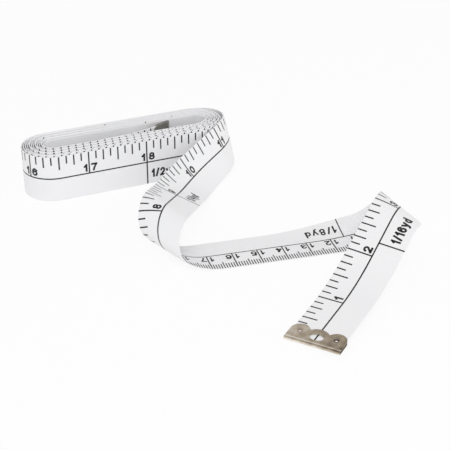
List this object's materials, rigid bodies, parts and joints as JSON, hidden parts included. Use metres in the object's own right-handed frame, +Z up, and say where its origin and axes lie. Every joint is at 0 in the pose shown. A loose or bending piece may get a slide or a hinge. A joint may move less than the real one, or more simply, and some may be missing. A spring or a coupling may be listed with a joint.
{
  "type": "cloth tape measure",
  "caption": "Flexible coated-cloth tape measure lying partly unwound: a flat coil standing on edge, a free length folded across the table, and a lobed metal clip on each end.",
  "frame": {"origin": "on the table, under the centre line of the tape's flat run, 150 mm of tape from its zero end", "axes": "+Z up from the table, +X along the coil's long sides towards the end that the tape peels from, +Y from the flat run towards the coil"},
  "size_m": [0.1266, 0.1699, 0.0214],
  "materials": {
    "tape": "white coated glass-cloth, satin, black print",
    "clip": "champagne-toned nickel plate"
  },
  "bodies": {
    "coil": {"tape_coil": "tape"},
    "lead": {"tape_lead": "tape"},
    "run": {"tape_run": "tape"},
    "free_end": {"tape_end": "tape", "end_clip": "clip"},
    "inner_end": {"tape_inner_end": "tape", "inner_clip": "clip"}
  },
  "joints": [
    {"name": "coil_peel", "type": "hinge", "parent": "coil", "child": "lead", "pos_m": [0.0077, 0.09552, 0.01], "axis": [0, 0, 1], "range_deg": [0, 40]},
    {"name": "lead_fold", "type": "hinge", "parent": "lead", "child": "run", "pos_m": [-0.03605, 0.00977, 0.01428], "axis": [0.3444, -0.9302, -0.1266], "range_deg": [0, 25]},
    {"name": "end_fold", "type": "hinge", "parent": "run", "child": "free_end", "pos_m": [0.05404, -0.01396, 0.01316], "axis": [-0.2857, 0.9276, 0.2408], "range_deg": [0, 120]},
    {"name": "inner_flex", "type": "hinge", "parent": "coil", "child": "inner_end", "pos_m": [-0.03342, 0.07899, 0.01045], "axis": [0, 0, -1], "range_deg": [-3, 6]}
  ]
}
